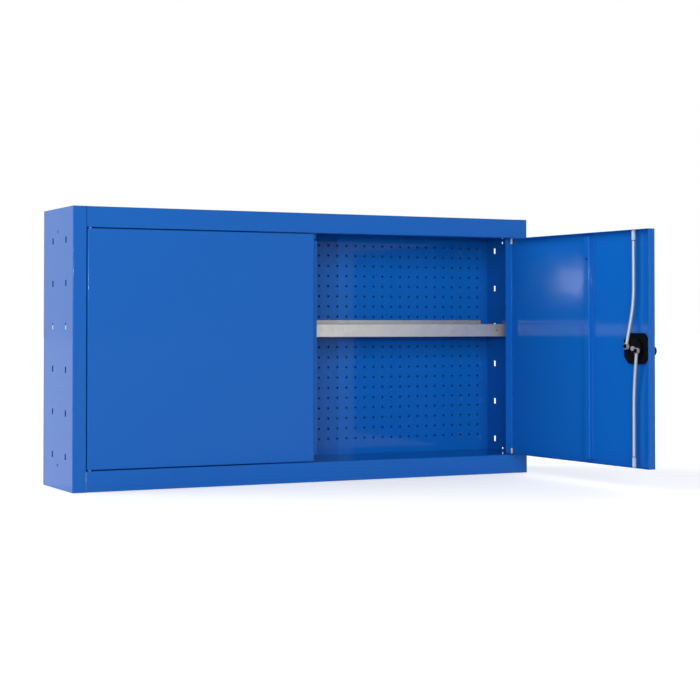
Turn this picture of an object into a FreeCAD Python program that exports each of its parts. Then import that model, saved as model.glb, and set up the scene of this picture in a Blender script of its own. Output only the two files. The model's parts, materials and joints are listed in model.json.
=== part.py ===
"""Two-door wall cabinet of folded sheet steel, with a perforated back and a rod lock.

Frame: X across the front, +Y to the wall, +Z up. The origin is the centre of the base.
The left door is stored closed and the right door open, as the cabinet is photographed.
"""
import FreeCAD, Part
import math
import os

from FreeCAD import Vector

# Driving dimensions, in millimetres and degrees.

# Carcass of folded sheet.
CABINET_WIDTH = 930.0
CABINET_HEIGHT = 500.0
CABINET_DEPTH = 180.0
SHEET = 1.0
BEND_RADIUS = 1.0
JAMB_WIDTH = 25.0
JAMB_RETURN = 20.0
TOP_LIP = 37.0
BOTTOM_LIP = 37.0
REAR_FLANGE = 30.0
SIDE_REAR_FLANGE = 15.0

# Slots for the shelf brackets and the single punched holes in the sides.
SLOT_WIDTH = 7.0
SLOT_HEIGHT = 11.0
SLOT_PITCH = 76.5
LOWEST_SLOT = 60.0
SLOT_TOP_MARGIN = 50.0
FRONT_SLOT = 42.5
SLOT_SPACING = 78.5
PUNCH_DIAMETER = 5.0
PUNCH_FROM_FRONT = 91.0
PUNCH_FROM_END = 42.0

# Perforated back, set in so that hooks have room behind it, the rear panel and the wall screws.
BACK_INSET = 30.0
HOLE_DIAMETER = 4.2
HOLE_PITCH = 20.0
HOLE_SIDE_MARGIN = 20.0
HOLE_TOP_MARGIN = 52.0
HOLE_BOTTOM_MARGIN = 60.0
ACCESS_DIAMETER = 12.0
WALL_HOLE_DIAMETER = 8.0
WALL_HOLE_SPACING = 860.0
REAR_PANEL_OVERLAP = 6.0

# Galvanised shelf and its two brackets.
SHELF_SHEET = 1.0
SHELF_FRONT = 38.0
SHELF_DEPTH = 98.0
SHELF_LIP = 25.0
SHELF_HEM = 10.0
SHELF_UPSTAND = 7.5
SHELF_END_GAP = 1.0
SHELF_SLOT_ROW = 3
SHELF_ABOVE_SLOT = 3.0
SHELF_HOLE_DIAMETER = 3.5
SHELF_HOLE_FROM_END = 20.0
BRACKET_SHEET = 1.5
BRACKET_DROP = 22.0
BRACKET_LEDGE = 40.0
BRACKET_MARGIN = 7.0
BRACKET_CLEARANCE = 1.0
TONGUE_CLEARANCE = 0.5
TONGUE_HEIGHT = 7.0

# Doors: flat pans with a hat-section stiffener, turning on pivot pins, and their stop.
DOOR_DEPTH = 16.0
DOOR_GAP = 1.5
CENTRE_GAP = 2.0
DOOR_OPEN_ANGLE = 93.0
PIVOT_FROM_EDGE = 6.0
PIVOT_FROM_FACE = 5.0
PIN_DIAMETER = 4.5
PIN_STUB_DIAMETER = 5.5
PIN_STUB = 9.0
PIN_REACH = 4.0
RUNNING_CLEARANCE = 0.05
STIFFENER_FROM_EDGE = 252.0
STIFFENER_WIDTH = 16.0
STIFFENER_DEPTH = 8.0
STIFFENER_FOOT = 9.0
STIFFENER_END_GAP = 6.0
STIFFENER_HOLE_DIAMETER = 5.0
STIFFENER_HOLE_FROM_TOP = 48.0
STRIP_OVERLAP = 11.5
STRIP_LEG = 12.0
STRIP_END_GAP = 12.0
STRIP_CLEARANCE = 0.5
STOP_WIDTH = 20.0
STOP_DROP = 10.0
STOP_FOOT = 9.0
STOP_CLEARANCE = 0.5

# Rod lock on the right door. Heights are measured inwards from the door's outer face.
LOCK_FROM_EDGE = 390.0
LOCK_LEVEL = 250.0
LOCK_START_ANGLE = 165.0
PLATE_WIDTH = 65.0
PLATE_HEIGHT = 55.0
PLATE_CHAMFER = 12.0
PLATE_THICKNESS = 5.0
SPINDLE_DIAMETER = 12.0
CAM_DIAMETER = 40.0
CAM_THICKNESS = 3.5
CAM_CLEARANCE = 1.0
CAM_PIN_RADIUS = 15.0
CAM_PIN_DIAMETER = 5.0
CAM_PIN_HEAD = 8.0
CAM_PIN_HEAD_HEIGHT = 1.4
STUD_DIAMETER = 5.0
STUD_PROUD = 1.0
NUT_WIDTH = 8.0
NUT_HEIGHT = 3.5
ROD_DIAMETER = 6.0
ROD_HEIGHT = 9.5
ROD_EYE_DIAMETER = 11.0
ROD_EYE_THICKNESS = 4.8
ROD_EYE_GAP = 2.1
ROD_BEND_RADIUS = 300.0
UPPER_BEND_FROM_LOCK = 80.0
LOWER_BEND_FROM_LOCK = 74.0
TIP_DIAMETER = 7.0
TIP_LENGTH = 20.0
TIP_CAP = 3.0
ROD_SWAY = 3.0
ROD_SLOT_CLEARANCE = 0.6
ROSETTE_DIAMETER = 50.0
ROSETTE_THICKNESS = 4.0
HANDLE_GAP = 0.4
HANDLE_HEIGHT = 18.0
HANDLE_BAR_LENGTH = 52.0
HANDLE_BAR_WIDTH = 18.0
HANDLE_BAR_THICKNESS = 11.0
HANDLE_HUB_DIAMETER = 26.0
HANDLE_ROUNDING = 1.5
PLUG_DIAMETER = 11.0
PLUG_LENGTH = 12.0
KEYWAY_LENGTH = 7.0
KEYWAY_WIDTH = 1.6
KEYWAY_DEPTH = 6.0

# Places worked out from the driving dimensions.
FRONT = -CABINET_DEPTH / 2
REAR = CABINET_DEPTH / 2
WALL_INSIDE = CABINET_WIDTH / 2 - SHEET
JAMB_EDGE = CABINET_WIDTH / 2 - JAMB_WIDTH
FOLD = SHEET + BEND_RADIUS
LIP_RETURN = FRONT + DOOR_DEPTH + STOP_CLEARANCE
BACK_FACE = REAR - BACK_INSET
OPENING_TOP = CABINET_HEIGHT - TOP_LIP
OPENING_BOTTOM = BOTTOM_LIP
FLOOR_FLANGE_TOP = OPENING_BOTTOM + REAR_FLANGE
TOP_FLANGE_EDGE = CABINET_HEIGHT - REAR_FLANGE
WALL_HOLE_LEVEL = CABINET_HEIGHT - REAR_FLANGE / 2
DOOR_TOP = OPENING_TOP - DOOR_GAP
DOOR_BOTTOM = OPENING_BOTTOM + DOOR_GAP
DOOR_EDGE = JAMB_EDGE - DOOR_GAP
DOOR_INNER = FRONT + SHEET
PIVOT_X = DOOR_EDGE - PIVOT_FROM_EDGE
PIVOT_Y = FRONT + PIVOT_FROM_FACE
LOCK_X = DOOR_EDGE - LOCK_FROM_EDGE
ROD_Y = FRONT + ROD_HEIGHT
PLATE_FRONT = DOOR_INNER + PLATE_THICKNESS
CAM_BACK = PLATE_FRONT + CAM_CLEARANCE
CAM_FRONT = CAM_BACK + CAM_THICKNESS
ROD_SLOT_WIDTH = TIP_DIAMETER + 2 * ROD_SLOT_CLEARANCE
ROD_SLOT_LENGTH = TIP_DIAMETER + 2 * ROD_SWAY
EYE_Y = CAM_FRONT + ROD_EYE_GAP + ROD_EYE_THICKNESS / 2
HANDLE_BACK = FRONT - ROSETTE_THICKNESS - HANDLE_GAP
HANDLE_FRONT = HANDLE_BACK - HANDLE_HEIGHT
SLOT_LEVEL = LOWEST_SLOT + SHELF_SLOT_ROW * SLOT_PITCH
SHELF_SEAT = SLOT_LEVEL + SHELF_ABOVE_SLOT
SHELF_TOP = SHELF_SEAT + SHELF_SHEET

ALONG_X = Vector(1, 0, 0)
ALONG_Y = Vector(0, 1, 0)
ALONG_Z = Vector(0, 0, 1)
OVERCUT = 1.0


def block(low, high):
    """A box between two corners."""
    size = [b - a for a, b in zip(low, high)]
    return Part.makeBox(*size, Vector(*low))


def rod_along_y(x, z, y_low, y_high, diameter):
    """A round bar that runs along Y."""
    return Part.makeCylinder(diameter / 2, y_high - y_low, Vector(x, y_low, z), ALONG_Y)


def post(x, y, z_low, z_high, diameter):
    """A round bar that stands along Z."""
    return Part.makeCylinder(diameter / 2, z_high - z_low, Vector(x, y, z_low), ALONG_Z)


def joined(shapes):
    """One solid from several that touch."""
    return shapes[0].multiFuse(shapes[1:]).removeSplitter()


def mirrored(shape):
    """The same piece for the other end of the cabinet."""
    return shape.mirror(Vector(0, 0, 0), ALONG_X)


def obround(x, y, z_low, z_high, length, width):
    """A slot with round ends along X, cut through along Z."""
    reach = (length - width) / 2
    low = (x - reach, y - width / 2, z_low)
    high = (x + reach, y + width / 2, z_high)
    ends = [post(x + side * reach, y, z_low, z_high, width) for side in (-1, 1)]
    return joined([block(low, high)] + ends)


def bend(corner, before, after, radius):
    """Start, middle and end of the arc that rounds a corner between two unit directions."""
    half_turn = before.getAngle(after) / 2
    start = corner - before * (radius * math.tan(half_turn))
    end = corner + after * (radius * math.tan(half_turn))
    inwards = (after - before).normalize()
    middle = corner + inwards * (radius / math.cos(half_turn) - radius)
    return start, middle, end


def rounded_line(points, radii):
    """Edges of an open line whose inner corners are rounded."""
    edges = []
    last = points[0]
    for before, corner, after, radius in zip(points, points[1:], points[2:], radii):
        into = (corner - before).normalize()
        out = (after - corner).normalize()
        start, middle, end = bend(corner, into, out, radius)
        edges.append(Part.LineSegment(last, start).toShape())
        edges.append(Part.Arc(start, middle, end).toShape())
        last = end
    edges.append(Part.LineSegment(last, points[-1]).toShape())
    return edges


def folded_sheet(path, thickness, normal, length):
    """Sheet of one thickness folded along a path and as long as the part.

    The path follows the outer face, and the sheet lies on its left as seen against the normal.
    """
    directions = [(b - a).normalize() for a, b in zip(path, path[1:])]
    lefts = [normal.cross(d) for d in directions]
    inner = [path[0] + lefts[0] * thickness]
    outer_radii = []
    inner_radii = []
    for corner, before, after in zip(path[1:-1], directions, directions[1:]):
        turns_left = normal.dot(before.cross(after)) > 0
        left_before = normal.cross(before)
        left_after = normal.cross(after)
        share = thickness / (1 + left_before.dot(left_after))
        inner.append(corner + (left_before + left_after) * share)
        outer_radii.append(BEND_RADIUS + thickness if turns_left else BEND_RADIUS)
        inner_radii.append(BEND_RADIUS if turns_left else BEND_RADIUS + thickness)
    inner.append(path[-1] + lefts[-1] * thickness)
    outline = rounded_line(path, outer_radii)
    outline.append(Part.LineSegment(path[-1], inner[-1]).toShape())
    outline.extend(rounded_line(inner[::-1], inner_radii[::-1]))
    outline.append(Part.LineSegment(inner[0], path[0]).toShape())
    profile = Part.Face(Part.Wire(Part.__sortEdges__(outline)))
    return profile.extrude(normal * length)


def slot_levels():
    """Heights of the rows of bracket slots, as many as the side has room for."""
    room = CABINET_HEIGHT - SLOT_TOP_MARGIN - LOWEST_SLOT
    return [LOWEST_SLOT + row * SLOT_PITCH for row in range(int(room / SLOT_PITCH) + 1)]


def right_side():
    """Side wall with its jamb folded round the front and a stiffening flange behind."""
    edge = CABINET_WIDTH / 2
    path = [
        Vector(JAMB_EDGE, FRONT + JAMB_RETURN, 0),
        Vector(JAMB_EDGE, FRONT, 0),
        Vector(edge, FRONT, 0),
        Vector(edge, REAR, 0),
        Vector(edge - SIDE_REAR_FLANGE, REAR, 0),
    ]
    side = folded_sheet(path, SHEET, ALONG_Z, CABINET_HEIGHT)
    cuts = []
    for level in slot_levels():
        for from_front in (FRONT_SLOT, FRONT_SLOT + SLOT_SPACING):
            middle = FRONT + from_front
            low = (WALL_INSIDE - OVERCUT, middle - SLOT_WIDTH / 2, level - SLOT_HEIGHT / 2)
            high = (edge + OVERCUT, middle + SLOT_WIDTH / 2, level + SLOT_HEIGHT / 2)
            cuts.append(block(low, high))
    for level in (PUNCH_FROM_END, CABINET_HEIGHT - PUNCH_FROM_END):
        centre = Vector(WALL_INSIDE - OVERCUT, FRONT + PUNCH_FROM_FRONT, level)
        cuts.append(Part.makeCylinder(PUNCH_DIAMETER / 2, SHEET + 2 * OVERCUT, centre, ALONG_X))
    # The top and the base pass over the jamb's return, and their rear flanges take the side's place.
    above = CABINET_HEIGHT + OVERCUT
    for low_z, high_z in ((-OVERCUT, SHEET), (CABINET_HEIGHT - SHEET, above)):
        low = (JAMB_EDGE - OVERCUT, FRONT + FOLD, low_z)
        cuts.append(block(low, (WALL_INSIDE, REAR + OVERCUT, high_z)))
    for low_z, high_z in ((-OVERCUT, FLOOR_FLANGE_TOP), (TOP_FLANGE_EDGE, above)):
        low = (edge - SIDE_REAR_FLANGE - OVERCUT, REAR - FOLD, low_z)
        cuts.append(block(low, (WALL_INSIDE, REAR + OVERCUT, high_z)))
    return side.cut(Part.makeCompound(cuts))


def cross_member(path, lip, plate):
    """Top or bottom sheet with a front lip, notched round the jambs and pierced for pins and rod.

    The lip and the plate are given as the heights between which each is cut.
    """
    start = [Vector(-WALL_INSIDE, p.y, p.z) for p in path]
    sheet = folded_sheet(start, SHEET, ALONG_X, 2 * WALL_INSIDE)
    cuts = []
    for side in (-1, 1):
        inner, outer = sorted((side * JAMB_EDGE, side * CABINET_WIDTH))
        cuts.append(block((inner, FRONT - OVERCUT, lip[0]), (outer, FRONT + JAMB_RETURN, lip[1])))
        cuts.append(block((inner, FRONT - OVERCUT, plate[0]), (outer, FRONT + FOLD, plate[1])))
        cuts.append(post(side * PIVOT_X, PIVOT_Y, *lip, PIN_DIAMETER + 2 * RUNNING_CLEARANCE))
    cuts.append(obround(LOCK_X, ROD_Y, *lip, ROD_SLOT_LENGTH, ROD_SLOT_WIDTH))
    return sheet.cut(Part.makeCompound(cuts))


def top_panel():
    """Top sheet: a front lip that turns in over the doors, and a rear flange for the wall screws."""
    top = CABINET_HEIGHT
    path = [
        Vector(0, REAR, TOP_FLANGE_EDGE),
        Vector(0, REAR, top),
        Vector(0, FRONT, top),
        Vector(0, FRONT, OPENING_TOP),
        Vector(0, LIP_RETURN, OPENING_TOP),
    ]
    lip = OPENING_TOP - OVERCUT, top - SHEET
    plate = top - SHEET - OVERCUT, top + OVERCUT
    holes = []
    for side in (-1, 1):
        hole_x = side * WALL_HOLE_SPACING / 2
        ends = REAR - SHEET - OVERCUT, REAR + OVERCUT
        holes.append(rod_along_y(hole_x, WALL_HOLE_LEVEL, *ends, WALL_HOLE_DIAMETER))
    return cross_member(path, lip, plate).cut(Part.makeCompound(holes))


def bottom_panel():
    """Hollow plinth from one sheet: a rear flange, the raised floor, the front lip and the base."""
    path = [
        Vector(0, REAR - SHEET, FLOOR_FLANGE_TOP),
        Vector(0, REAR - SHEET, OPENING_BOTTOM),
        Vector(0, FRONT, OPENING_BOTTOM),
        Vector(0, FRONT, 0),
        Vector(0, REAR, 0),
    ]
    lip = SHEET, OPENING_BOTTOM + OVERCUT
    plate = -OVERCUT, SHEET + OVERCUT
    return cross_member(path, lip, plate)


def circle_wire(x, z, diameter):
    """A round hole in the face of the back panel."""
    return Part.Wire(Part.makeCircle(diameter / 2, Vector(x, BACK_FACE, z), ALONG_Y))


def perforated_back():
    """Flat perforated sheet that stands on the floor, welded by its edges to the sides and the top."""
    low_z = OPENING_BOTTOM
    high_z = CABINET_HEIGHT - SHEET
    corners = [(-WALL_INSIDE, low_z), (WALL_INSIDE, low_z), (WALL_INSIDE, high_z), (-WALL_INSIDE, high_z)]
    outline = Part.makePolygon([Vector(x, BACK_FACE, z) for x, z in corners + corners[:1]])
    columns = int((WALL_INSIDE - HOLE_SIDE_MARGIN) / HOLE_PITCH)
    top_row = CABINET_HEIGHT - HOLE_TOP_MARGIN
    rows = int((top_row - HOLE_BOTTOM_MARGIN) / HOLE_PITCH) + 1
    holes = []
    for column in range(-columns, columns + 1):
        for row in range(rows):
            holes.append(circle_wire(column * HOLE_PITCH, top_row - row * HOLE_PITCH, HOLE_DIAMETER))
    for side in (-1, 1):
        holes.append(circle_wire(side * WALL_HOLE_SPACING / 2, WALL_HOLE_LEVEL, ACCESS_DIAMETER))
    face = Part.makeFace([outline] + holes, "Part::FaceMakerBullseye")
    return face.extrude(ALONG_Y * SHEET)


def rear_panel():
    """Plain sheet that closes the rear, welded to the inner faces of the four rear flanges."""
    half = CABINET_WIDTH / 2 - SIDE_REAR_FLANGE + REAR_PANEL_OVERLAP
    seat = REAR - SHEET
    low = (-half, seat - SHEET, FLOOR_FLANGE_TOP - REAR_PANEL_OVERLAP)
    return block(low, (half, seat, TOP_FLANGE_EDGE + REAR_PANEL_OVERLAP))


def shelf():
    """Galvanised tray: a front lip with a hem under it, and a low upstand behind."""
    front = FRONT + SHELF_FRONT
    behind = front + SHELF_DEPTH - SHELF_SHEET
    half = JAMB_EDGE - SHELF_END_GAP
    path = [
        Vector(-half, behind, SHELF_TOP + SHELF_UPSTAND),
        Vector(-half, behind, SHELF_TOP),
        Vector(-half, front, SHELF_TOP),
        Vector(-half, front, SHELF_TOP - SHELF_LIP),
        Vector(-half, front + SHELF_HEM, SHELF_TOP - SHELF_LIP),
    ]
    tray = folded_sheet(path, SHELF_SHEET, ALONG_X, 2 * half)
    middle = SHELF_TOP - SHELF_LIP / 2
    holes = []
    for side in (-1, 1):
        x = side * (half - SHELF_HOLE_FROM_END)
        ends = front - OVERCUT, front + SHELF_SHEET + OVERCUT
        holes.append(rod_along_y(x, middle, *ends, SHELF_HOLE_DIAMETER))
    return tray.cut(Part.makeCompound(holes))


def right_bracket():
    """Angle that carries the shelf's end, with two tongues that sit in slots of the side."""
    seat_inside = FRONT + SHELF_FRONT + SHELF_SHEET + BRACKET_CLEARANCE
    front = FRONT + FRONT_SLOT - BRACKET_MARGIN
    behind = FRONT + FRONT_SLOT + SLOT_SPACING + BRACKET_MARGIN
    wall_low = (WALL_INSIDE - BRACKET_SHEET, front, SHELF_SEAT - BRACKET_DROP)
    ledge_low = (WALL_INSIDE - BRACKET_LEDGE, seat_inside, SHELF_SEAT - BRACKET_SHEET)
    pieces = [
        block(wall_low, (WALL_INSIDE, behind, SHELF_SEAT)),
        block(ledge_low, (WALL_INSIDE, behind, SHELF_SEAT)),
    ]
    tongue_low = SLOT_LEVEL - SLOT_HEIGHT / 2
    half = SLOT_WIDTH / 2 - TONGUE_CLEARANCE
    for from_front in (FRONT_SLOT, FRONT_SLOT + SLOT_SPACING):
        middle = FRONT + from_front
        low = (WALL_INSIDE, middle - half, tongue_low)
        high = (CABINET_WIDTH / 2, middle + half, tongue_low + TONGUE_HEIGHT)
        pieces.append(block(low, high))
    return joined(pieces)


def door_stop():
    """Tab that hangs over the edge of the top lip's return at the middle, for the doors to close against."""
    half = STOP_WIDTH / 2
    seat = OPENING_TOP + SHEET
    foot = block((-half, LIP_RETURN - STOP_FOOT, seat), (half, LIP_RETURN + SHEET, seat + SHEET))
    tab = block((-half, LIP_RETURN, OPENING_TOP - STOP_DROP), (half, LIP_RETURN + SHEET, seat + SHEET))
    return joined([foot, tab])


def hinge_pins():
    """Stepped pivot pins of the right door: a stub inside its flange, and a shank into the lip."""
    pins = []
    for edge, outwards, lip in ((DOOR_TOP, 1, OPENING_TOP), (DOOR_BOTTOM, -1, OPENING_BOTTOM)):
        seat = edge - outwards * SHEET
        stub_z = sorted((seat, seat - outwards * PIN_STUB))
        shank_z = sorted((seat, lip + outwards * (SHEET + PIN_REACH)))
        stub = post(PIVOT_X, PIVOT_Y, *stub_z, PIN_STUB_DIAMETER)
        shank = post(PIVOT_X, PIVOT_Y, *shank_z, PIN_DIAMETER)
        pins.append(joined([stub, shank]))
    return pins


def door_panel(depth):
    """Door pan for the right side: flat skin with flanges all round and soft folded front edges."""
    low = Vector(CENTRE_GAP / 2, FRONT, DOOR_BOTTOM)
    high = Vector(DOOR_EDGE, FRONT + depth, DOOR_TOP)
    outer = block(low, high)
    wall = Vector(SHEET, SHEET, SHEET)
    inner = block(low + wall, Vector(high.x - SHEET, high.y + OVERCUT, high.z - SHEET))
    pan = rounded_face(outer, FOLD).cut(rounded_face(inner, BEND_RADIUS))
    pin_hole = PIN_DIAMETER + 2 * RUNNING_CLEARANCE
    return pan.cut(post(PIVOT_X, PIVOT_Y, DOOR_BOTTOM - OVERCUT, DOOR_TOP + OVERCUT, pin_hole))


def rounded_face(solid, radius):
    """The box with the four edges of its front face rounded."""
    front = solid.BoundBox.YMin
    edges = [e for e in solid.Edges if e.BoundBox.YMax < front + OVERCUT / 2]
    return solid.makeFillet(radius, edges)


def lock_door_panel():
    """Right door pan, pierced for the lock's spindle and both rods, and clear of the closing strip."""
    pan = door_panel(DOOR_DEPTH - STRIP_CLEARANCE)
    cuts = [rod_along_y(LOCK_X, LOCK_LEVEL, FRONT - OVERCUT, DOOR_INNER + OVERCUT, spindle_bore())]
    for edge, inwards in ((DOOR_TOP, -1), (DOOR_BOTTOM, 1)):
        ends = sorted((edge - inwards * OVERCUT, edge + inwards * (SHEET + OVERCUT)))
        cuts.append(obround(LOCK_X, ROD_Y, *ends, ROD_SLOT_LENGTH, ROD_SLOT_WIDTH))
    return pan.cut(Part.makeCompound(cuts))


def stiffener():
    """Hat section welded up the inside of the right door, with one hole near its top."""
    centre = DOOR_EDGE - STIFFENER_FROM_EDGE
    half = STIFFENER_WIDTH / 2 - SHEET
    foot = DOOR_INNER
    ridge = DOOR_INNER + STIFFENER_DEPTH - SHEET
    low_z = DOOR_BOTTOM + STIFFENER_END_GAP
    high_z = DOOR_TOP - STIFFENER_END_GAP
    path = [
        Vector(centre - half - SHEET - STIFFENER_FOOT, foot, low_z),
        Vector(centre - half, foot, low_z),
        Vector(centre - half, ridge, low_z),
        Vector(centre + half, ridge, low_z),
        Vector(centre + half, foot, low_z),
        Vector(centre + half + SHEET + STIFFENER_FOOT, foot, low_z),
    ]
    hat = folded_sheet(path, SHEET, ALONG_Z, high_z - low_z)
    hole_z = DOOR_TOP - STIFFENER_HOLE_FROM_TOP
    return hat.cut(rod_along_y(centre, hole_z, foot + FOLD, ridge + FOLD, STIFFENER_HOLE_DIAMETER))


def closing_strip():
    """Angle on the left door's free edge that stands behind the right door and is held shut by it."""
    rim = FRONT + DOOR_DEPTH
    inside = -CENTRE_GAP / 2 - SHEET
    low_z = DOOR_BOTTOM + STRIP_END_GAP
    high_z = DOOR_TOP - STRIP_END_GAP
    leg = block((inside - SHEET, rim - STRIP_LEG, low_z), (inside, rim + SHEET, high_z))
    leaf = block((inside - SHEET, rim, low_z), (STRIP_OVERLAP, rim + SHEET, high_z))
    return joined([leg, leaf])


def spindle_bore():
    """Diameter of the holes that the lock's spindle turns in."""
    return SPINDLE_DIAMETER + 2 * RUNNING_CLEARANCE


def lock_plate():
    """Black plate of the lock, an oblong with its corners cut off."""
    half_x = PLATE_WIDTH / 2
    half_z = PLATE_HEIGHT / 2
    quarter = [(half_x, half_z - PLATE_CHAMFER), (half_x - PLATE_CHAMFER, half_z)]
    corners = quarter + [(-x, z) for x, z in quarter[::-1]]
    corners += [(-x, -z) for x, z in corners]
    points = [Vector(LOCK_X + x, DOOR_INNER, LOCK_LEVEL + z) for x, z in corners + corners[:1]]
    plate = Part.Face(Part.makePolygon(points)).extrude(ALONG_Y * PLATE_THICKNESS)
    return plate.cut(rod_along_y(LOCK_X, LOCK_LEVEL, FRONT, PLATE_FRONT + OVERCUT, spindle_bore()))


def handle_rosette():
    """Round plate on the door's outer face, behind the handle."""
    back = FRONT - ROSETTE_THICKNESS
    disc = rod_along_y(LOCK_X, LOCK_LEVEL, back, FRONT, ROSETTE_DIAMETER)
    return disc.cut(rod_along_y(LOCK_X, LOCK_LEVEL, back - OVERCUT, FRONT + OVERCUT, spindle_bore()))


def handle_grip():
    """T-shaped handle whose bar lies in line with the cam's pins, with a socket for the key plug."""
    hub = rod_along_y(LOCK_X, LOCK_LEVEL, HANDLE_FRONT, HANDLE_BACK, HANDLE_HUB_DIAMETER)
    reach = (HANDLE_BAR_LENGTH - HANDLE_BAR_WIDTH) / 2
    behind = HANDLE_FRONT + HANDLE_BAR_THICKNESS
    half = HANDLE_BAR_WIDTH / 2
    low = (LOCK_X - reach, HANDLE_FRONT, LOCK_LEVEL - half)
    pieces = [hub, block(low, (LOCK_X + reach, behind, LOCK_LEVEL + half))]
    for side in (-1, 1):
        end_x = LOCK_X + side * reach
        pieces.append(rod_along_y(end_x, LOCK_LEVEL, HANDLE_FRONT, behind, HANDLE_BAR_WIDTH))
    grip = rounded_face(joined(pieces), HANDLE_ROUNDING)
    bore = PLUG_DIAMETER + 2 * RUNNING_CLEARANCE
    ends = HANDLE_FRONT - OVERCUT, HANDLE_FRONT + PLUG_LENGTH
    grip = grip.cut(rod_along_y(LOCK_X, LOCK_LEVEL, *ends, bore))
    grip.rotate(Vector(LOCK_X, 0, LOCK_LEVEL), ALONG_Y, LOCK_START_ANGLE - 180)
    return grip


def key_plug():
    """Lock cylinder's plug, with its keyway, flush with the handle's front."""
    plug = rod_along_y(LOCK_X, LOCK_LEVEL, HANDLE_FRONT, HANDLE_FRONT + PLUG_LENGTH, PLUG_DIAMETER)
    low = (LOCK_X - KEYWAY_WIDTH / 2, HANDLE_FRONT - OVERCUT, LOCK_LEVEL - KEYWAY_LENGTH / 2)
    high = (LOCK_X + KEYWAY_WIDTH / 2, HANDLE_FRONT + KEYWAY_DEPTH, LOCK_LEVEL + KEYWAY_LENGTH / 2)
    return plug.cut(block(low, high))


def lock_spindle():
    """Steel spindle from the handle to the cam, with a threaded stud through cam and nut."""
    shaft = rod_along_y(LOCK_X, LOCK_LEVEL, HANDLE_BACK, CAM_BACK, SPINDLE_DIAMETER)
    end = CAM_FRONT + NUT_HEIGHT + STUD_PROUD
    return joined([shaft, rod_along_y(LOCK_X, LOCK_LEVEL, CAM_BACK, end, STUD_DIAMETER)])


def lock_cam():
    """Round cam plate that the two rods hang on."""
    disc = rod_along_y(LOCK_X, LOCK_LEVEL, CAM_BACK, CAM_FRONT, CAM_DIAMETER)
    return disc.cut(stud_hole(CAM_BACK, CAM_FRONT))


def stud_hole(y_low, y_high):
    """Hole for the spindle's stud."""
    diameter = STUD_DIAMETER + 2 * RUNNING_CLEARANCE
    return rod_along_y(LOCK_X, LOCK_LEVEL, y_low - OVERCUT, y_high + OVERCUT, diameter)


def cam_pin_place(for_upper):
    """X and Z of a rod's pin: the upper rod's is on the hinge side, the lower rod's opposite it."""
    angle = math.radians(LOCK_START_ANGLE if for_upper else LOCK_START_ANGLE + 180)
    # Seen from inside, the hinge side is on the left, and X grows to the left.
    return LOCK_X - CAM_PIN_RADIUS * math.cos(angle), LOCK_LEVEL + CAM_PIN_RADIUS * math.sin(angle)


def cam_pins():
    """Two headed pins on the cam, one for each rod."""
    pins = []
    end = EYE_Y + ROD_EYE_THICKNESS / 2 + RUNNING_CLEARANCE
    for for_upper in (True, False):
        x, z = cam_pin_place(for_upper)
        shank = rod_along_y(x, z, CAM_FRONT, end, CAM_PIN_DIAMETER)
        head = rod_along_y(x, z, end, end + CAM_PIN_HEAD_HEIGHT, CAM_PIN_HEAD)
        pins.append(joined([shank, head]))
    return pins


def cam_nut():
    """Hexagon nut that holds the cam on its spindle."""
    corner = NUT_WIDTH / math.sqrt(3)
    points = []
    for step in range(7):
        angle = math.radians(60 * step)
        x = LOCK_X + corner * math.cos(angle)
        points.append(Vector(x, CAM_FRONT, LOCK_LEVEL + corner * math.sin(angle)))
    nut = Part.Face(Part.makePolygon(points)).extrude(ALONG_Y * NUT_HEIGHT)
    return nut.cut(stud_hole(CAM_FRONT, CAM_FRONT + NUT_HEIGHT))


def lock_rod(for_upper):
    """Rod with an eye on the cam's pin, a slanted stretch and a straight run to the door's edge."""
    x, z = cam_pin_place(for_upper)
    outwards = 1 if for_upper else -1
    edge = DOOR_TOP if for_upper else DOOR_BOTTOM
    bend_level = LOCK_LEVEL + outwards * (UPPER_BEND_FROM_LOCK if for_upper else LOWER_BEND_FROM_LOCK)
    eye = Vector(x, EYE_Y, z)
    points = [Vector(LOCK_X, ROD_Y, edge - outwards * TIP_CAP), Vector(LOCK_X, ROD_Y, bend_level), eye]
    path = Part.Wire(rounded_line(points, [ROD_BEND_RADIUS]))
    section = Part.Wire(Part.makeCircle(ROD_DIAMETER / 2, points[0], ALONG_Z))
    bar = path.makePipeShell([section], True, False)
    low = EYE_Y - ROD_EYE_THICKNESS / 2
    ring = rod_along_y(x, z, low, low + ROD_EYE_THICKNESS, ROD_EYE_DIAMETER)
    bore = CAM_PIN_DIAMETER + 2 * RUNNING_CLEARANCE
    hole = rod_along_y(x, z, low - ROD_DIAMETER, low + ROD_EYE_THICKNESS + ROD_DIAMETER, bore)
    # The rod is flattened to the thickness of its eye where it lies over the cam.
    over_pin = CAM_PIN_HEAD + ROD_DIAMETER
    flat_low = (x - over_pin, low + ROD_EYE_THICKNESS, z - over_pin)
    flat = block(flat_low, (x + over_pin, low + ROD_EYE_THICKNESS + ROD_DIAMETER, z + over_pin))
    return joined([bar, ring]).cut(flat).cut(hole)


def rod_tip(for_upper):
    """Plastic cap on a rod's end that slides through the door's flange into the lip."""
    outwards = 1 if for_upper else -1
    edge = DOOR_TOP if for_upper else DOOR_BOTTOM
    rod_end = edge - outwards * TIP_CAP
    inner_end = edge - outwards * TIP_LENGTH
    cap = post(LOCK_X, ROD_Y, min(edge, inner_end), max(edge, inner_end), TIP_DIAMETER)
    return cap.cut(post(LOCK_X, ROD_Y, min(rod_end, inner_end), max(rod_end, inner_end), ROD_DIAMETER))


def opened(shape):
    """A piece of the right door, turned with the door to where it stands open."""
    turned = shape.copy()
    turned.rotate(Vector(PIVOT_X, PIVOT_Y, 0), ALONG_Z, DOOR_OPEN_ANGLE)
    return turned


def export(name, solids):
    """One STEP file for a node: a single solid, or a group of like ones."""
    shape = solids[0] if len(solids) == 1 else Part.makeCompound(solids)
    if not shape.isValid():
        print("not valid:", name)
    shape.exportStep(os.path.join("parts", name + ".step"))


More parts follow.
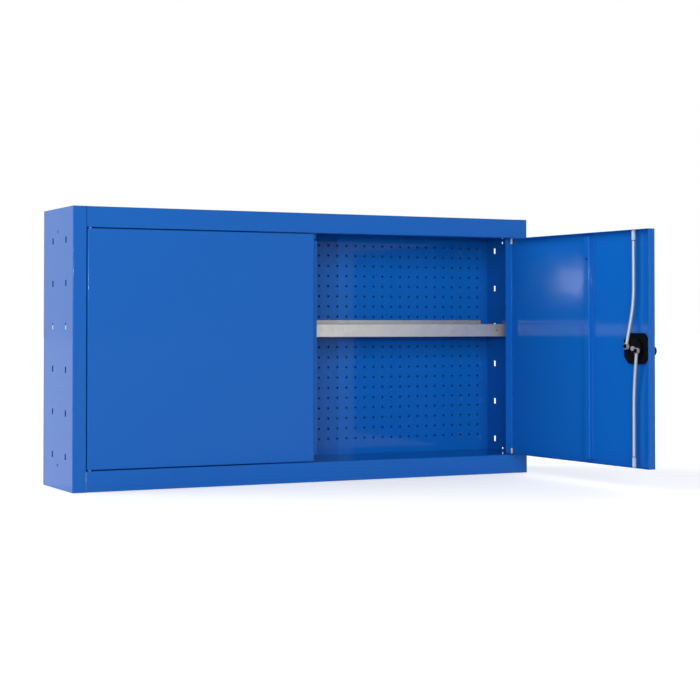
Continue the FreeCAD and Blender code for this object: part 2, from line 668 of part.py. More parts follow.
def build():
    """Every node of the cabinet, by name."""
    carcass = {
        "right_side": [right_side()],
        "left_side": [mirrored(right_side())],
        "top_panel": [top_panel()],
        "bottom_panel": [bottom_panel()],
        "perforated_back": [perforated_back()],
        "rear_panel": [rear_panel()],
        "door_stop": [door_stop()],
        "shelf": [shelf()],
        "right_shelf_bracket": [right_bracket()],
        "left_shelf_bracket": [mirrored(right_bracket())],
    }
    left_door = {
        "left_door_panel": [mirrored(door_panel(DOOR_DEPTH))],
        "left_door_stiffener": [mirrored(stiffener())],
        "left_hinge_pins": [mirrored(pin) for pin in hinge_pins()],
        "closing_strip": [closing_strip()],
    }
    right_door = {
        "right_door_panel": [lock_door_panel()],
        "right_door_stiffener": [stiffener()],
        "right_hinge_pins": hinge_pins(),
        "lock_plate": [lock_plate()],
        "handle_rosette": [handle_rosette()],
        "handle_grip": [handle_grip()],
        "key_plug": [key_plug()],
        "lock_spindle": [lock_spindle()],
        "lock_cam": [lock_cam()],
        "cam_pins": cam_pins(),
        "cam_nut": [cam_nut()],
        "upper_rod": [lock_rod(True)],
        "upper_rod_tip": [rod_tip(True)],
        "lower_rod": [lock_rod(False)],
        "lower_rod_tip": [rod_tip(False)],
    }
    nodes = dict(carcass)
    nodes.update(left_door)
    for name, solids in right_door.items():
        nodes[name] = [opened(solid) for solid in solids]
    return nodes


os.makedirs("parts", exist_ok=True)
for node, node_solids in build().items():
    export(node, node_solids)
    print(node, len(node_solids), "volume %.0f mm3" % sum(s.Volume for s in node_solids))
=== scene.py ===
import json
import math

import bmesh
import bpy
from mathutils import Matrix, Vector


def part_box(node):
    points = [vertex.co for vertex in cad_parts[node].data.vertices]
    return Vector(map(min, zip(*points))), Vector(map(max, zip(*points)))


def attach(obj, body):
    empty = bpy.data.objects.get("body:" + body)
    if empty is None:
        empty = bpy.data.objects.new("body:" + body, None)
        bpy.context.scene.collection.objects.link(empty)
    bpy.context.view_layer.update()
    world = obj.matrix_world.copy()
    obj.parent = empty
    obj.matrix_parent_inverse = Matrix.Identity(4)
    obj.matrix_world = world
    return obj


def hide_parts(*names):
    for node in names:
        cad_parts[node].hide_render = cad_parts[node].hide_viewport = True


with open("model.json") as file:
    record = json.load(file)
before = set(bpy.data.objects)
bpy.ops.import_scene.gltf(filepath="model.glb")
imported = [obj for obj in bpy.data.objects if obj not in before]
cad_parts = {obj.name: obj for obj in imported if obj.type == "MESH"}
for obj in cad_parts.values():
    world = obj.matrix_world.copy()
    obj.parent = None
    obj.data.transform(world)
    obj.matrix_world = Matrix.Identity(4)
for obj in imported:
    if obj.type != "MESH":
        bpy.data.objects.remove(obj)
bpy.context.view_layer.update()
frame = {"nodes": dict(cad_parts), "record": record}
nodes = frame["nodes"]


# Carcass: two sides with folded jambs, a top with a deep front lip, a hollow plinth and a plain rear
# panel, all one-millimetre steel sheet, welded into a box. It is sprayed inside and out in blue
# enamel, which dries glossy with a faint orange peel.
ENAMEL_BLUE = (0.004, 0.108, 0.440, 1.0)


def add_node(tree, kind, inputs=None, **settings):
    """A new node with its settings, and values for the inputs that are not linked."""
    node = tree.nodes.new(kind)
    for name, value in settings.items():
        setattr(node, name, value)
    for name, value in (inputs or {}).items():
        node.inputs[name].default_value = value
    return node


def new_group(name, kind, inputs, outputs):
    """An empty node group with named sockets, and its input and output nodes."""
    group = bpy.data.node_groups.new(name, kind)
    for label, socket in inputs:
        group.interface.new_socket(label, in_out="INPUT", socket_type=socket)
    for label, socket in outputs:
        group.interface.new_socket(label, in_out="OUTPUT", socket_type=socket)
    return group, group.nodes.new("NodeGroupInput"), group.nodes.new("NodeGroupOutput")


def tinted(group, mask, middle, amount, colour):
    """A colour made lighter or darker as a mask departs from its middle, and how far it departs."""
    shift = add_node(group, "ShaderNodeMath", {1: middle}, operation="SUBTRACT")
    depth = add_node(group, "ShaderNodeMath", operation="MULTIPLY")
    level = add_node(group, "ShaderNodeMath", {1: 1.0}, operation="ADD")
    tint = add_node(group, "ShaderNodeVectorMath", operation="SCALE")
    group.links.new(mask, shift.inputs[0])
    group.links.new(shift.outputs[0], depth.inputs[0])
    group.links.new(amount, depth.inputs[1])
    group.links.new(depth.outputs[0], level.inputs[0])
    group.links.new(colour, tint.inputs[0])
    group.links.new(level.outputs[0], tint.inputs["Scale"])
    return tint.outputs[0], depth.outputs[0]


COLOUR, NUMBER = "NodeSocketColor", "NodeSocketFloat"
NOISE_MIDDLE = 0.5
orange_peel, peel_in, peel_out = new_group(
    "orange_peel",
    "ShaderNodeTree",
    [
        ("Colour", COLOUR),
        ("Drift", NUMBER),
        ("Roughness", NUMBER),
        ("Peel Scale", NUMBER),
        ("Sway", NUMBER),
    ],
    [("Colour", COLOUR), ("Roughness", NUMBER), ("Height", NUMBER)],
)
peel_place = add_node(orange_peel, "ShaderNodeTexCoord")
peel_skin = add_node(orange_peel, "ShaderNodeTexNoise", {"Detail": 2.0, "Roughness": 0.45})
peel_cloud = add_node(orange_peel, "ShaderNodeTexNoise", {"Scale": 2.6, "Detail": 3.0})
peel_haze = add_node(orange_peel, "ShaderNodeTexNoise", {"Scale": 31.0, "Detail": 4.0})
peel_sway = add_node(orange_peel, "ShaderNodeTexNoise", {"Scale": 9.0, "Detail": 1.0})
for noise in (peel_skin, peel_cloud, peel_haze, peel_sway):
    orange_peel.links.new(peel_place.outputs["Object"], noise.inputs["Vector"])
orange_peel.links.new(peel_in.outputs["Peel Scale"], peel_skin.inputs["Scale"])
peel_tint = tinted(
    orange_peel, peel_cloud.outputs["Fac"], NOISE_MIDDLE, peel_in.outputs["Drift"], peel_in.outputs["Colour"]
)[0]
peel_spread = add_node(
    orange_peel, "ShaderNodeMapRange", {"From Min": 0.3, "From Max": 0.7, "To Min": -0.02, "To Max": 0.02}
)
peel_gloss = add_node(orange_peel, "ShaderNodeMath", operation="ADD")
orange_peel.links.new(peel_haze.outputs["Fac"], peel_spread.inputs["Value"])
orange_peel.links.new(peel_spread.outputs["Result"], peel_gloss.inputs[0])
orange_peel.links.new(peel_in.outputs["Roughness"], peel_gloss.inputs[1])
orange_peel.links.new(peel_tint, peel_out.inputs["Colour"])
orange_peel.links.new(peel_gloss.outputs[0], peel_out.inputs["Roughness"])
peel_height = add_node(orange_peel, "ShaderNodeMath", operation="MULTIPLY_ADD")
orange_peel.links.new(peel_sway.outputs["Fac"], peel_height.inputs[0])
orange_peel.links.new(peel_in.outputs["Sway"], peel_height.inputs[1])
orange_peel.links.new(peel_skin.outputs["Fac"], peel_height.inputs[2])
orange_peel.links.new(peel_height.outputs[0], peel_out.inputs["Height"])


def finish_from_group(name, group, values, relief, strength, **shader_values):
    """A material whose colour, roughness and relief come from a group, with fixed shader values."""
    material = bpy.data.materials.new(name)
    material.use_nodes = True
    tree = material.node_tree
    shader = tree.nodes["Principled BSDF"]
    for label, value in shader_values.items():
        shader.inputs[label.replace("_", " ")].default_value = value
    effect = add_node(tree, "ShaderNodeGroup", node_tree=group)
    for label, value in values.items():
        effect.inputs[label].default_value = value
    bump = add_node(tree, "ShaderNodeBump", {"Strength": strength, "Distance": relief})
    tree.links.new(effect.outputs["Colour"], shader.inputs["Base Color"])
    tree.links.new(effect.outputs["Roughness"], shader.inputs["Roughness"])
    tree.links.new(effect.outputs["Height"], bump.inputs["Height"])
    tree.links.new(bump.outputs["Normal"], shader.inputs["Normal"])
    return material


def dress(names, material):
    """Give CAD nodes a material."""
    for name in names:
        for slot in nodes[name].material_slots:
            slot.material = material


blue_enamel = finish_from_group(
    "blue_enamel",
    orange_peel,
    {"Colour": ENAMEL_BLUE, "Drift": 0.10, "Roughness": 0.075, "Peel Scale": 380.0, "Sway": 12.0},
    relief=0.0004,
    strength=0.03,
    Specular_IOR_Level=0.17,
)
dress(["left_side", "right_side", "top_panel", "bottom_panel", "rear_panel"], blue_enamel)


# Perforated back: one flat sheet punched on a square grid for hooks, with an access hole near each
# upper corner for the wall screws. Punching leaves a slightly rolled rim round every hole, on the front.
back_low, back_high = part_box("perforated_back")
wall_screws = next(m for m in frame["record"]["mounts"] if m["name"] == "wall_fixings")
HOLE_PITCH = 0.020
HOLE_RADIUS = 0.0021
HOLE_COLUMNS = 45
HOLE_ROWS = 20
TOP_ROW_LEVEL = 0.448
ACCESS_RADIUS = 0.006
RIM_RADIUS = 0.00022
HOLE_CORNERS = 16
ACCESS_CORNERS = 28
RIM_CORNERS = 14
RIM_SECTION_CORNERS = 4
WELD_GAP = 0.00001
perforation, sheet_in, sheet_out = new_group(
    "perforated_sheet",
    "GeometryNodeTree",
    [
        ("Width", NUMBER),
        ("Height", NUMBER),
        ("Thickness", NUMBER),
        ("Columns", "NodeSocketInt"),
        ("Rows", "NodeSocketInt"),
        ("Pitch", NUMBER),
        ("Hole Radius", NUMBER),
        ("Access Radius", NUMBER),
        ("Access Across", NUMBER),
        ("Hole Rise", NUMBER),
        ("Access Rise", NUMBER),
        ("Rim Radius", NUMBER),
        ("Back", NUMBER),
        ("Middle", NUMBER),
        ("Finish", "NodeSocketMaterial"),
    ],
    [("Geometry", "NodeSocketGeometry")],
)


def sheet_link(start, end):
    """Join two sockets of the sheet's tree."""
    perforation.links.new(start, end)


def sheet_sum(operation, first, second):
    """One sum in the sheet's tree, of sockets or plain numbers."""
    node = add_node(perforation, "ShaderNodeMath", operation=operation)
    for socket, value in zip(node.inputs, (first, second)):
        if isinstance(value, (int, float)):
            socket.default_value = value
        else:
            sheet_link(value, socket)
    return node.outputs[0]


sheet_edge = add_node(perforation, "GeometryNodeCurvePrimitiveQuadrilateral")
sheet_link(sheet_in.outputs["Width"], sheet_edge.inputs["Width"])
sheet_link(sheet_in.outputs["Height"], sheet_edge.inputs["Height"])
hole_grid = add_node(perforation, "GeometryNodeMeshGrid")
for count, length, vertices in (("Columns", "Size X", "Vertices X"), ("Rows", "Size Y", "Vertices Y")):
    steps = sheet_sum("SUBTRACT", sheet_in.outputs[count], 1)
    sheet_link(sheet_sum("MULTIPLY", steps, sheet_in.outputs["Pitch"]), hole_grid.inputs[length])
    sheet_link(sheet_in.outputs[count], hole_grid.inputs[vertices])
access_ends = add_node(perforation, "GeometryNodeMeshLine", {"Count": 2}, mode="END_POINTS")
for end, share in (("Start Location", -0.5), ("Offset", 0.5)):
    reach = add_node(perforation, "ShaderNodeCombineXYZ")
    sheet_link(sheet_sum("MULTIPLY", sheet_in.outputs["Access Across"], share), reach.inputs["X"])
    sheet_link(sheet_in.outputs["Access Rise"], reach.inputs["Y"])
    sheet_link(reach.outputs[0], access_ends.inputs[end])
hole_shift = add_node(perforation, "ShaderNodeCombineXYZ")
sheet_link(sheet_in.outputs["Hole Rise"], hole_shift.inputs["Y"])
hole_points = add_node(perforation, "GeometryNodeTransform")
sheet_link(hole_grid.outputs["Mesh"], hole_points.inputs["Geometry"])
sheet_link(hole_shift.outputs[0], hole_points.inputs["Translation"])
sheet_outline = add_node(perforation, "GeometryNodeJoinGeometry")
sheet_link(sheet_edge.outputs["Curve"], sheet_outline.inputs["Geometry"])
for points, radius, corners in (
    (hole_points, "Hole Radius", HOLE_CORNERS),
    (access_ends, "Access Radius", ACCESS_CORNERS),
):
    circle = add_node(perforation, "GeometryNodeCurvePrimitiveCircle", {"Resolution": corners})
    sheet_link(sheet_in.outputs[radius], circle.inputs["Radius"])
    placed = add_node(perforation, "GeometryNodeInstanceOnPoints")
    sheet_link(points.outputs[0], placed.inputs["Points"])
    sheet_link(circle.outputs["Curve"], placed.inputs["Instance"])
    real = add_node(perforation, "GeometryNodeRealizeInstances")
    sheet_link(placed.outputs["Instances"], real.inputs["Geometry"])
    sheet_link(real.outputs["Geometry"], sheet_outline.inputs["Geometry"])
sheet_face = add_node(perforation, "GeometryNodeFillCurve")
sheet_link(sheet_outline.outputs["Geometry"], sheet_face.inputs["Curve"])
sheet_front = add_node(perforation, "GeometryNodeExtrudeMesh", {"Individual": False})
sheet_link(sheet_face.outputs["Mesh"], sheet_front.inputs["Mesh"])
sheet_link(sheet_in.outputs["Thickness"], sheet_front.inputs["Offset Scale"])
sheet_back = add_node(perforation, "GeometryNodeFlipFaces")
sheet_link(sheet_face.outputs["Mesh"], sheet_back.inputs["Mesh"])
sheet_body = add_node(perforation, "GeometryNodeJoinGeometry")
sheet_link(sheet_front.outputs["Mesh"], sheet_body.inputs["Geometry"])
sheet_link(sheet_back.outputs["Mesh"], sheet_body.inputs["Geometry"])
sheet_welded = add_node(perforation, "GeometryNodeMergeByDistance", {"Distance": WELD_GAP})
sheet_link(sheet_body.outputs["Geometry"], sheet_welded.inputs["Geometry"])
rim_path = add_node(perforation, "GeometryNodeCurvePrimitiveCircle", {"Resolution": RIM_CORNERS})
sheet_link(sheet_in.outputs["Hole Radius"], rim_path.inputs["Radius"])
rim_section = add_node(perforation, "GeometryNodeCurvePrimitiveCircle", {"Resolution": RIM_SECTION_CORNERS})
sheet_link(sheet_in.outputs["Rim Radius"], rim_section.inputs["Radius"])
rim = add_node(perforation, "GeometryNodeCurveToMesh")
sheet_link(rim_path.outputs["Curve"], rim.inputs["Curve"])
sheet_link(rim_section.outputs["Curve"], rim.inputs["Profile Curve"])
rim_level = add_node(perforation, "ShaderNodeCombineXYZ")
sheet_link(sheet_in.outputs["Thickness"], rim_level.inputs["Z"])
rim_raised = add_node(perforation, "GeometryNodeTransform")
sheet_link(rim.outputs["Mesh"], rim_raised.inputs["Geometry"])
sheet_link(rim_level.outputs[0], rim_raised.inputs["Translation"])
rims = add_node(perforation, "GeometryNodeInstanceOnPoints")
sheet_link(hole_points.outputs[0], rims.inputs["Points"])
sheet_link(rim_raised.outputs["Geometry"], rims.inputs["Instance"])
sheet_whole = add_node(perforation, "GeometryNodeJoinGeometry")
sheet_link(sheet_welded.outputs["Geometry"], sheet_whole.inputs["Geometry"])
sheet_link(rims.outputs["Instances"], sheet_whole.inputs["Geometry"])
sheet_place = add_node(perforation, "ShaderNodeCombineXYZ")
sheet_link(sheet_in.outputs["Back"], sheet_place.inputs["Y"])
sheet_link(sheet_in.outputs["Middle"], sheet_place.inputs["Z"])
sheet_stood = add_node(perforation, "GeometryNodeTransform", {"Rotation": (math.radians(90), 0, 0)})
sheet_link(sheet_whole.outputs["Geometry"], sheet_stood.inputs["Geometry"])
sheet_link(sheet_place.outputs[0], sheet_stood.inputs["Translation"])
sheet_real = add_node(perforation, "GeometryNodeRealizeInstances")
sheet_link(sheet_stood.outputs["Geometry"], sheet_real.inputs["Geometry"])
sheet_paint = add_node(perforation, "GeometryNodeSetMaterial")
sheet_link(sheet_real.outputs["Geometry"], sheet_paint.inputs["Geometry"])
sheet_link(sheet_in.outputs["Finish"], sheet_paint.inputs["Material"])
sheet_link(sheet_paint.outputs["Geometry"], sheet_out.inputs["Geometry"])


def mesh_from_tree(name, tree, values):
    """An object with the plain mesh that a geometry tree makes from these values."""
    host = bpy.data.objects.new(name, bpy.data.meshes.new(name + "_host"))
    bpy.context.scene.collection.objects.link(host)
    maker = host.modifiers.new("maker", "NODES")
    maker.node_group = tree
    sockets = {item.name: item.identifier for item in tree.interface.items_tree if item.in_out == "INPUT"}
    for label, value in values.items():
        maker[sockets[label]] = value
    bpy.context.view_layer.update()
    made = bpy.data.meshes.new_from_object(host.evaluated_get(bpy.context.evaluated_depsgraph_get()))
    host.modifiers.remove(maker)
    host.data = made
    made.name = name
    return host


back_middle = (back_low.z + back_high.z) / 2
back_sheet = mesh_from_tree(
    "perforated_back_sheet",
    perforation,
    {
        "Width": back_high.x - back_low.x,
        "Height": back_high.z - back_low.z,
        "Thickness": back_high.y - back_low.y,
        "Columns": HOLE_COLUMNS,
        "Rows": HOLE_ROWS,
        "Pitch": HOLE_PITCH,
        "Hole Radius": HOLE_RADIUS,
        "Access Radius": ACCESS_RADIUS,
        "Access Across": wall_screws["dims"]["spacing_x_mm"] / 1000,
        "Hole Rise": TOP_ROW_LEVEL - (HOLE_ROWS - 1) * HOLE_PITCH / 2 - back_middle,
        "Access Rise": wall_screws["pos_m"][2] - back_middle,
        "Rim Radius": RIM_RADIUS,
        "Back": back_high.y,
        "Middle": back_middle,
        "Finish": blue_enamel,
    },
)
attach(back_sheet, "carcass")
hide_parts("perforated_back")


# Door stop: a folded tab hung over the edge of the top lip at the middle, sprayed with the rest.
# Both doors close against it.
dress(["door_stop"], blue_enamel)


# Shelf and brackets: hot-dip galvanised sheet with a soft grey spangle, a lip in front and a low
# upstand behind. The shelf lies loose on two angles whose tongues sit in slots of the sides.
GALVANISED_GREY = (0.58, 0.565, 0.535, 1.0)
CRYSTAL_GLOSS = 0.12
spangle, spangle_in, spangle_out = new_group(
    "spangle",
    "ShaderNodeTree",
    [("Colour", COLOUR), ("Crystal Scale", NUMBER), ("Contrast", NUMBER), ("Roughness", NUMBER)],
    [("Colour", COLOUR), ("Roughness", NUMBER), ("Height", NUMBER)],
)
spangle_place = add_node(spangle, "ShaderNodeTexCoord")
crystals = add_node(spangle, "ShaderNodeTexVoronoi", {"Randomness": 1.0})
crystal_haze = add_node(spangle, "ShaderNodeTexNoise", {"Scale": 24.0, "Detail": 5.0})
spangle.links.new(spangle_place.outputs["Object"], crystals.inputs["Vector"])
spangle.links.new(spangle_place.outputs["Object"], crystal_haze.inputs["Vector"])
spangle.links.new(spangle_in.outputs["Crystal Scale"], crystals.inputs["Scale"])
crystal_tone = add_node(spangle, "ShaderNodeSeparateColor")
spangle.links.new(crystals.outputs["Color"], crystal_tone.inputs["Color"])
crystal_mix = add_node(spangle, "ShaderNodeMath", operation="MULTIPLY")
spangle.links.new(crystal_tone.outputs[0], crystal_mix.inputs[0])
spangle.links.new(crystal_haze.outputs["Fac"], crystal_mix.inputs[1])
crystal_tint = tinted(
    spangle,
    crystal_mix.outputs[0],
    NOISE_MIDDLE * NOISE_MIDDLE,
    spangle_in.outputs["Contrast"],
    spangle_in.outputs["Colour"],
)[0]
crystal_gloss = add_node(spangle, "ShaderNodeMath", {1: CRYSTAL_GLOSS}, operation="MULTIPLY_ADD")
spangle.links.new(crystal_tone.outputs[1], crystal_gloss.inputs[0])
spangle.links.new(spangle_in.outputs["Roughness"], crystal_gloss.inputs[2])
spangle.links.new(crystal_tint, spangle_out.inputs["Colour"])
spangle.links.new(crystal_gloss.outputs[0], spangle_out.inputs["Roughness"])
spangle.links.new(crystal_haze.outputs["Fac"], spangle_out.inputs["Height"])
galvanised = finish_from_group(
    "galvanised_sheet",
    spangle,
    {"Colour": GALVANISED_GREY, "Crystal Scale": 95.0, "Contrast": 0.14, "Roughness": 0.40},
    relief=0.0002,
    strength=0.04,
    Metallic=0.7,
)
dress(["shelf", "left_shelf_bracket", "right_shelf_bracket"], galvanised)


# Doors: shallow pans folded from one sheet each, with a hat-section stiffener welded up the inside.
# The left one carries an angle strip that the right one closes over. All are sprayed blue.
dress(["left_door_panel", "right_door_panel"], blue_enamel)
dress(["left_door_stiffener", "right_door_stiffener", "closing_strip"], blue_enamel)


# Pivot pins: short turned steel pins, zinc plated, in the doors' top and bottom flanges.
# They turn in holes of the carcass lips.
ZINC_GREY = (0.46, 0.47, 0.48, 1.0)
drawn_grain, drawn_in, drawn_out = new_group(
    "drawn_grain",
    "ShaderNodeTree",
    [("Colour", COLOUR), ("Line Scale", NUMBER), ("Contrast", NUMBER), ("Roughness", NUMBER)],
    [("Colour", COLOUR), ("Roughness", NUMBER), ("Height", NUMBER)],
)
drawn_place = add_node(drawn_grain, "ShaderNodeTexCoord")
drawn_stretch = add_node(drawn_grain, "ShaderNodeMapping", {"Scale": (1.0, 1.0, 0.03)})
drawn_lines = add_node(drawn_grain, "ShaderNodeTexNoise", {"Detail": 3.0})
drawn_grain.links.new(drawn_place.outputs["Object"], drawn_stretch.inputs["Vector"])
drawn_grain.links.new(drawn_stretch.outputs["Vector"], drawn_lines.inputs["Vector"])
drawn_grain.links.new(drawn_in.outputs["Line Scale"], drawn_lines.inputs["Scale"])
drawn_tint, drawn_depth = tinted(
    drawn_grain,
    drawn_lines.outputs["Fac"],
    NOISE_MIDDLE,
    drawn_in.outputs["Contrast"],
    drawn_in.outputs["Colour"],
)
drawn_gloss = add_node(drawn_grain, "ShaderNodeMath", operation="ADD")
drawn_grain.links.new(drawn_depth, drawn_gloss.inputs[0])
drawn_grain.links.new(drawn_in.outputs["Roughness"], drawn_gloss.inputs[1])
drawn_grain.links.new(drawn_tint, drawn_out.inputs["Colour"])
drawn_grain.links.new(drawn_gloss.outputs[0], drawn_out.inputs["Roughness"])
drawn_grain.links.new(drawn_lines.outputs["Fac"], drawn_out.inputs["Height"])
zinc_plate = finish_from_group(
    "zinc_plate",
    drawn_grain,
    {"Colour": ZINC_GREY, "Line Scale": 900.0, "Contrast": 0.2, "Roughness": 0.45},
    relief=0.0001,
    strength=0.1,
    Metallic=0.55,
)
dress(["left_hinge_pins", "right_hinge_pins"], zinc_plate)


# Lock plate, rosette and handle: moulded black plastic with a fine matt grain and softened edges.
# The plate lies on the door's inside, and the rosette and handle are on the same spindle outside.
BLACK = (0.003, 0.003, 0.0035, 1.0)
black_plastic = finish_from_group(
    "black_plastic",
    orange_peel,
    {"Colour": BLACK, "Drift": 0.4, "Roughness": 0.42, "Peel Scale": 1500.0},
    relief=0.0002,
    strength=0.15,
    Specular_IOR_Level=0.05,
)
NO_TURN = math.radians(2.0)
SHARP_TURN = math.radians(40)
MERGE_GAP = 0.000002
SOFT_STEPS = 3


def eased(name, node, body, material, width):
    """A copy of a solid whose hard edges are rounded, in place of the solid."""
    work = bmesh.new()
    work.from_mesh(nodes[node].data)
    bmesh.ops.remove_doubles(work, verts=work.verts, dist=MERGE_GAP)
    bmesh.ops.dissolve_limit(work, angle_limit=NO_TURN, verts=work.verts, edges=work.edges)
    mesh = bpy.data.meshes.new(name)
    work.to_mesh(mesh)
    work.free()
    piece = bpy.data.objects.new(name, mesh)
    bpy.context.scene.collection.objects.link(piece)
    mesh.materials.clear()
    mesh.materials.append(material)
    soften = piece.modifiers.new("soften", "BEVEL")
    soften.width = width
    soften.segments = SOFT_STEPS
    soften.limit_method = "ANGLE"
    soften.angle_limit = SHARP_TURN
    soften.harden_normals = True
    for polygon in mesh.polygons:
        polygon.use_smooth = True
    mesh.set_sharp_from_angle(angle=SHARP_TURN)
    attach(piece, body)
    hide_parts(node)


eased("lock_plate_moulding", "lock_plate", "right_door", black_plastic, width=0.0008)
eased("rosette_moulding", "handle_rosette", "right_door", black_plastic, width=0.0012)
dress(["handle_grip"], black_plastic)


# Cam, pins, nut and spindle: the cam is a blackened steel disc held on the spindle by a zinc-plated
# nut, with two blackened headed pins for the rods.
black_oxide = finish_from_group(
    "black_oxide",
    drawn_grain,
    {"Colour": BLACK, "Line Scale": 500.0, "Contrast": 0.3, "Roughness": 0.4},
    relief=0.0001,
    strength=0.1,
    Specular_IOR_Level=0.06,
)
eased("lock_cam_disc", "lock_cam", "lock", black_oxide, width=0.0005)
eased("cam_pin_heads", "cam_pins", "lock", black_oxide, width=0.0004)
eased("cam_nut_eased", "cam_nut", "lock", zinc_plate, width=0.0004)
dress(["lock_spindle"], zinc_plate)


# Key plug: a small bright metal cylinder with a keyway cut in its face. It is let into a bore in the
# front of the handle, where it turns with the key.
bright_plug = finish_from_group(
    "bright_plug",
    drawn_grain,
    {"Colour": ZINC_GREY, "Line Scale": 300.0, "Contrast": 0.1, "Roughness": 0.18},
    relief=0.00005,
    strength=0.05,
    Metallic=1.0,
)
dress(["key_plug"], bright_plug)


# Rods and tips: drawn zinc-plated rods that slant from the cam's pins to the door's edges, each with
# a pale plastic sleeve on its end. A thin black ring where the sleeve begins is painted shade: it stands
# in for the shadow line at the step from rod to sleeve.
TIP_GREY = (0.42, 0.46, 0.52, 1.0)
RING_HEIGHT = 0.0016
RING_PROUD = 0.0003
RING_EASE = 0.2
RING_SIDES = 32
pale_plastic = finish_from_group(
    "pale_plastic",
    orange_peel,
    {"Colour": TIP_GREY, "Drift": 0.1, "Roughness": 0.45, "Peel Scale": 1500.0},
    relief=0.0001,
    strength=0.1,
    Specular_IOR_Level=0.4,
)
dress(["upper_rod", "lower_rod"], zinc_plate)
dress(["upper_rod_tip", "lower_rod_tip"], pale_plastic)
for body, inner_end, towards_edge in (("upper_rod", 0, 1), ("lower_rod", 1, -1)):
    tip_low, tip_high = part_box(body + "_tip")
    centre = (tip_low + tip_high) / 2
    radius = (tip_high.x - tip_low.x) / 2
    start = (tip_low, tip_high)[inner_end].z
    # Painted shade: a thin black band, a little proud of the sleeve, put where the step from rod to sleeve
    # casts its shadow line.
    profile = [
        (radius - RING_PROUD, 0.0),
        (radius + RING_PROUD, RING_HEIGHT * RING_EASE),
        (radius + RING_PROUD, RING_HEIGHT * (1 - RING_EASE)),
        (radius - RING_PROUD, RING_HEIGHT),
    ]
    work = bmesh.new()
    hoops = []
    for reach, rise in profile:
        hoop = []
        for side in range(RING_SIDES):
            angle = 2 * math.pi * side / RING_SIDES
            spot = (reach * math.cos(angle), reach * math.sin(angle), towards_edge * rise)
            hoop.append(work.verts.new(Vector((centre.x, centre.y, start)) + Vector(spot)))
        hoops.append(hoop)
    for lower, upper in zip(hoops, hoops[1:] + hoops[:1]):
        for side in range(RING_SIDES):
            after = (side + 1) % RING_SIDES
            work.faces.new((lower[side], lower[after], upper[after], upper[side]))
    bmesh.ops.recalc_face_normals(work, faces=work.faces)
    ring_mesh = bpy.data.meshes.new(body + "_shadow_ring")
    work.to_mesh(ring_mesh)
    work.free()
    ring_mesh.materials.append(black_plastic)
    ring = bpy.data.objects.new(body + "_shadow_ring", ring_mesh)
    bpy.context.scene.collection.objects.link(ring)
    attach(ring, body)


# Floor: a plain matt white studio sweep that keeps a soft shadow under the cabinet. It lies just below
# the base, and the camera and every gloss see it lifted to white.
FLOOR_HALF = 30.0
FLOOR_LEVEL = -0.0005
FLOOR_WHITE = (0.82, 0.82, 0.82, 1.0)
FLOOR_LIFT = 0.50
floor_mesh = bpy.data.meshes.new("floor")
floor_corners = [(-1, -1), (1, -1), (1, 1), (-1, 1)]
floor_points = [(x * FLOOR_HALF, y * FLOOR_HALF, FLOOR_LEVEL) for x, y in floor_corners]
floor_mesh.from_pydata(floor_points, [], [(0, 1, 2, 3)])
floor = bpy.data.objects.new("floor", floor_mesh)
bpy.context.scene.collection.objects.link(floor)
floor_paint = bpy.data.materials.new("floor_paint")
floor_paint.use_nodes = True
floor_tree = floor_paint.node_tree
floor_shader = floor_tree.nodes["Principled BSDF"]
floor_shader.inputs["Base Color"].default_value = FLOOR_WHITE
floor_shader.inputs["Roughness"].default_value = 0.9
floor_shader.inputs["Specular IOR Level"].default_value = 0.0
floor_shader.inputs["Emission Color"].default_value = (1, 1, 1, 1)
floor_rays = add_node(floor_tree, "ShaderNodeLightPath")
floor_seen = add_node(floor_tree, "ShaderNodeMath", operation="MAXIMUM")
floor_glow = add_node(floor_tree, "ShaderNodeMath", {1: FLOOR_LIFT}, operation="MULTIPLY")
floor_tree.links.new(floor_rays.outputs["Is Camera Ray"], floor_seen.inputs[0])
floor_tree.links.new(floor_rays.outputs["Is Glossy Ray"], floor_seen.inputs[1])
floor_tree.links.new(floor_seen.outputs[0], floor_glow.inputs[0])
floor_tree.links.new(floor_glow.outputs[0], floor_shader.inputs["Emission Strength"])
floor_mesh.materials.append(floor_paint)


# Light: a white room, broad lamps from the front and from both sides behind, and a small bright lamp
# beside the camera. Gloss shows only the room and the small lamp, which the open door mirrors.
ROOM_LEVEL = 0.20
world = bpy.data.worlds.new("room")
bpy.context.scene.world = world
world.use_nodes = True
room = world.node_tree
room_light = room.nodes["Background"]
room_light.inputs["Color"].default_value = (1, 1, 1, 1)
room_rays = add_node(room, "ShaderNodeLightPath")
room_seen = add_node(room, "ShaderNodeMath", operation="MAXIMUM")
room_seen_all = add_node(room, "ShaderNodeMath", operation="MAXIMUM")
room_level = add_node(room, "ShaderNodeMapRange", {"To Min": ROOM_LEVEL, "To Max": 1.0})
room.links.new(room_rays.outputs["Is Camera Ray"], room_seen.inputs[0])
room.links.new(room_rays.outputs["Is Glossy Ray"], room_seen.inputs[1])
room.links.new(room_seen.outputs[0], room_seen_all.inputs[0])
room.links.new(room_rays.outputs["Is Transmission Ray"], room_seen_all.inputs[1])
room.links.new(room_seen_all.outputs[0], room_level.inputs["Value"])
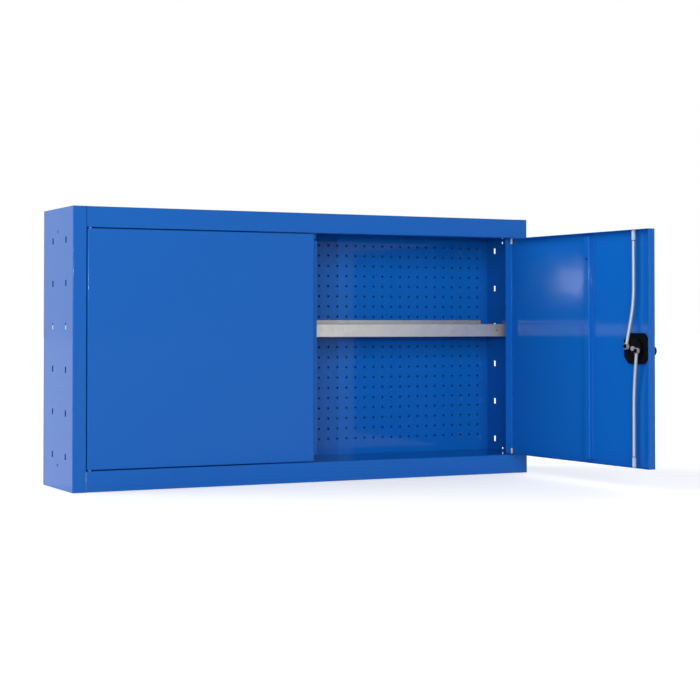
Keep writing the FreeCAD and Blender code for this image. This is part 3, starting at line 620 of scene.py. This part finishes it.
room.links.new(room_level.outputs["Result"], room_light.inputs["Strength"])
for name, direction, strength, spread in (
    ("front", (-0.36, -0.91, 0.20), 1.80, 30),
    ("left_behind", (-0.85, 0.35, 0.40), 2.2, 60),
    ("right_behind", (0.70, 0.60, 0.40), 1.6, 60),
):
    lamp_data = bpy.data.lights.new(name, "SUN")
    lamp_data.energy = strength
    lamp_data.angle = math.radians(spread)
    lamp = bpy.data.objects.new(name, lamp_data)
    lamp.rotation_euler = Vector(direction).to_track_quat("Z", "Y").to_euler()
    lamp.visible_glossy = False
    bpy.context.scene.collection.objects.link(lamp)
FLASH_PLACE = Vector((-1.90, -2.40, 0.46))
FLASH_AIM = Vector((0.15, 0.06, 0.35))
FLASH_SIZE = (0.04, 0.10)
FLASH_POWER = 18.0
flash_data = bpy.data.lights.new("flash", "AREA")
flash_data.shape = "RECTANGLE"
flash_data.size, flash_data.size_y = FLASH_SIZE
flash_data.energy = FLASH_POWER
flash = bpy.data.objects.new("flash", flash_data)
flash.location = FLASH_PLACE
flash.rotation_euler = (FLASH_PLACE - FLASH_AIM).to_track_quat("Z", "Y").to_euler()
bpy.context.scene.collection.objects.link(flash)


# Camera: about three metres away to the left, a little above the middle of the cabinet, with the
# photograph's focal length and framing.
CAMERA_PLACE = (-1.3475, -2.9398, 0.2946)
CAMERA_TURN = 26.495
CAMERA_TILT = 1.144
FOCAL_PIXELS = 1694.0
FRAME_PIXELS = 700.0
AXIS_ROW = 289.6
camera_data = bpy.data.cameras.new("camera")
camera_data.sensor_width = 36.0
camera_data.lens = camera_data.sensor_width * FOCAL_PIXELS / FRAME_PIXELS
camera_data.shift_y = (AXIS_ROW - FRAME_PIXELS / 2) / FRAME_PIXELS
camera_data.clip_end = 200.0
camera = bpy.data.objects.new("camera", camera_data)
camera.location = CAMERA_PLACE
camera.rotation_euler = (math.radians(90 + CAMERA_TILT), 0, math.radians(-CAMERA_TURN))
bpy.context.scene.collection.objects.link(camera)
bpy.context.scene.camera = camera
bpy.context.scene.view_settings.view_transform = "Standard"
